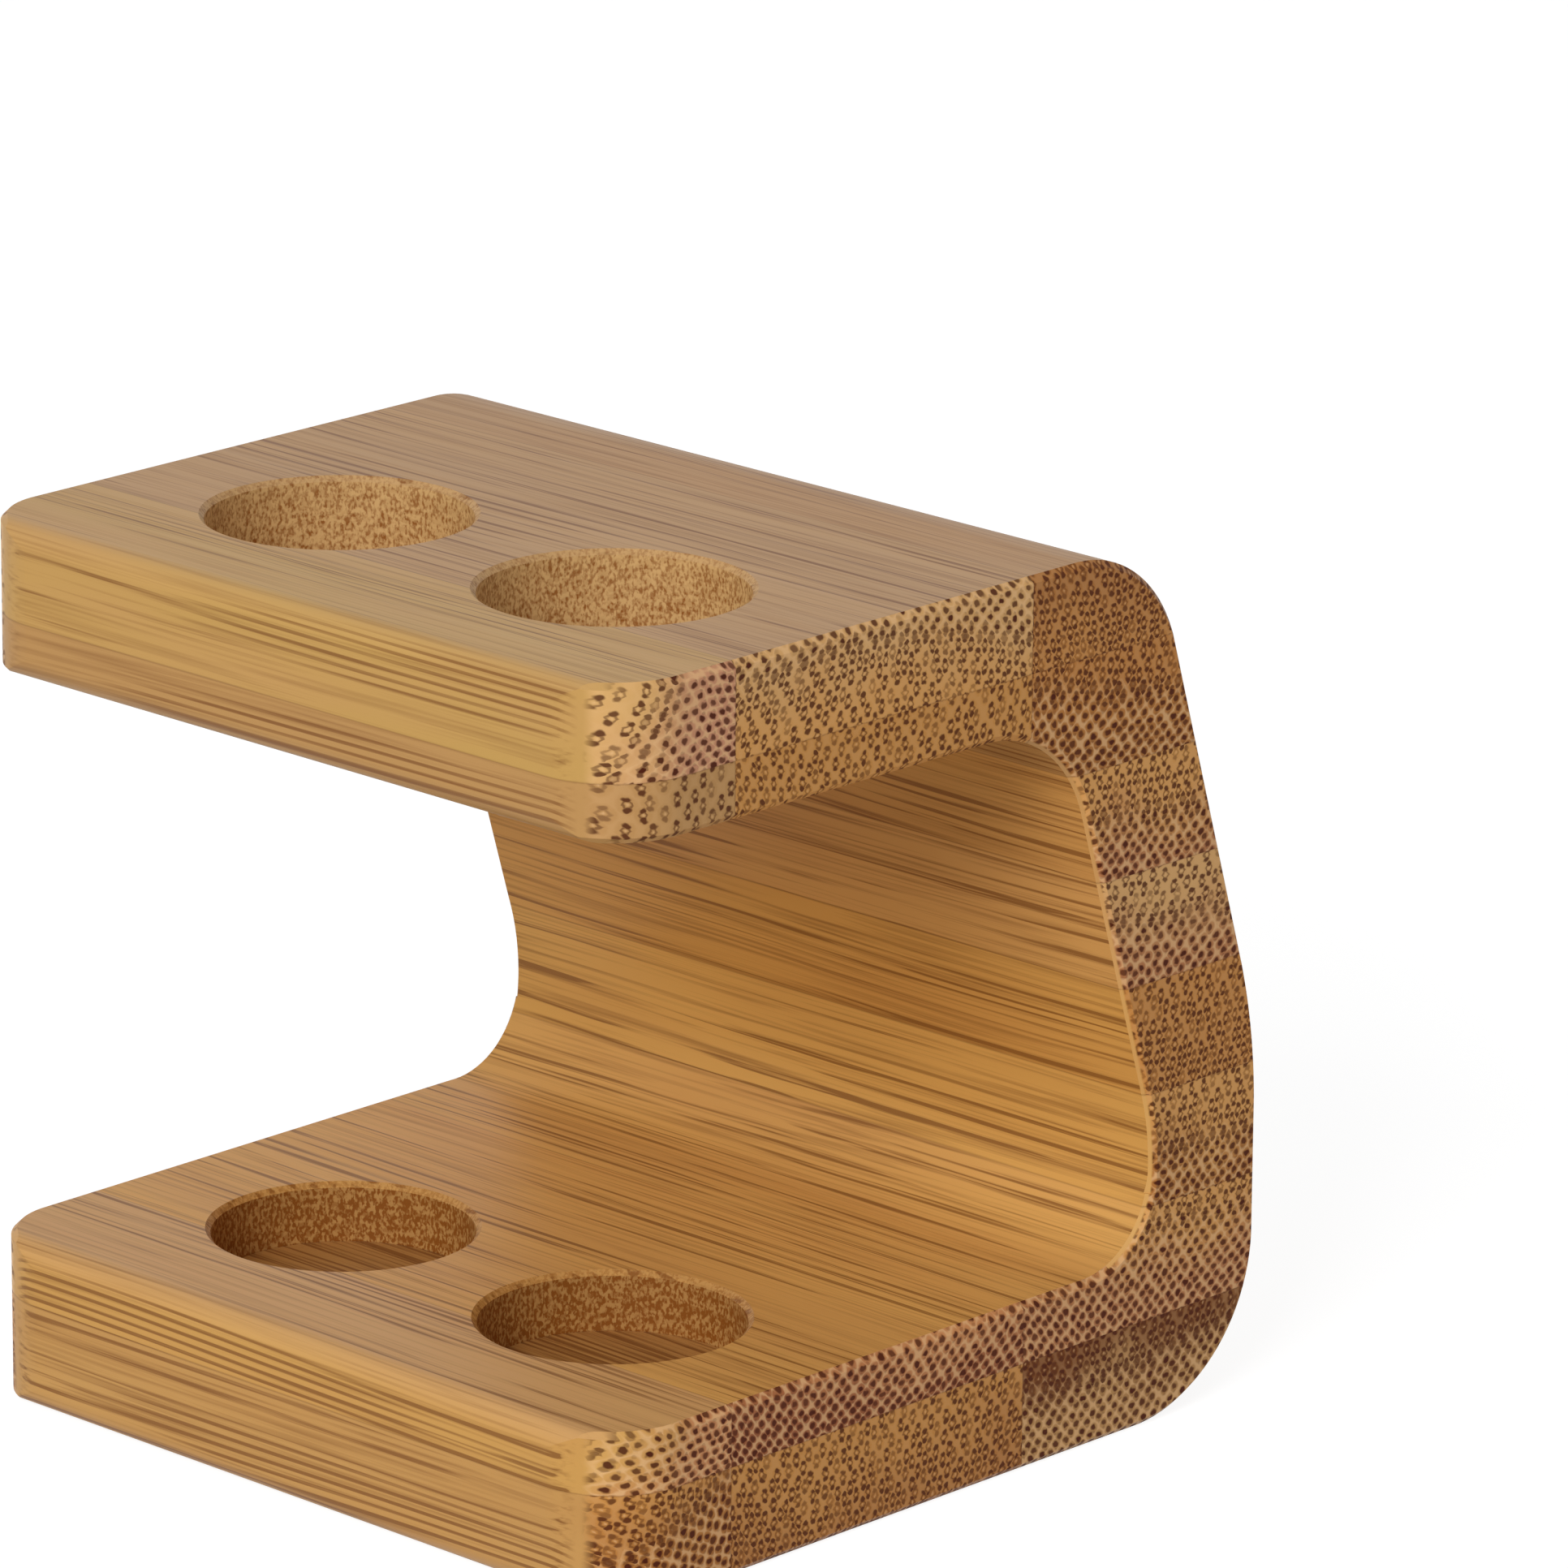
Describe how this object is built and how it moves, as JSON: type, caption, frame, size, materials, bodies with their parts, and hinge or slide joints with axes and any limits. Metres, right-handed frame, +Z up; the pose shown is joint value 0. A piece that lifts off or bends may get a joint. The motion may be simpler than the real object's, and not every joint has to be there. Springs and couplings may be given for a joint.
{
  "type": "toothbrush holder",
  "caption": "C-shaped holder cut from a block of glued bamboo strips, with guide holes in the top arm above seats sunk in the base, to stand brush heads upright.",
  "frame": {"origin": "centre of the bounding box on the level face that the base stands on", "axes": "+Z up, +Y from the open front towards the back wall, +X along the fibres to the right seen from the front"},
  "size_m": [0.05, 0.051, 0.0509],
  "materials": {
    "yellow_bamboo": "sanded, clear oiled, satin",
    "pale_bamboo": "sanded, clear oiled, satin",
    "golden_bamboo": "sanded, clear oiled, satin",
    "red_brown_bamboo": "sanded, clear oiled, satin",
    "grey_brown_bamboo": "sanded, clear oiled, satin"
  },
  "bodies": {
    "root": {"top_arm_upper_front_strip": "yellow_bamboo", "top_arm_upper_middle_strip": "pale_bamboo", "top_arm_upper_rear_strip": "red_brown_bamboo", "top_arm_lower_front_strip": "pale_bamboo", "top_arm_lower_middle_strip": "golden_bamboo", "top_arm_lower_rear_strip": "grey_brown_bamboo", "back_wall_strip_1": "red_brown_bamboo", "back_wall_strip_2": "grey_brown_bamboo", "back_wall_strip_3": "golden_bamboo", "back_wall_strip_4": "red_brown_bamboo", "base_upper_front_strip": "yellow_bamboo", "base_upper_middle_strip": "red_brown_bamboo", "base_upper_rear_strip": "golden_bamboo", "base_lower_front_strip": "golden_bamboo", "base_lower_middle_strip": "pale_bamboo", "base_lower_rear_strip": "grey_brown_bamboo"}
  },
  "joints": []
}
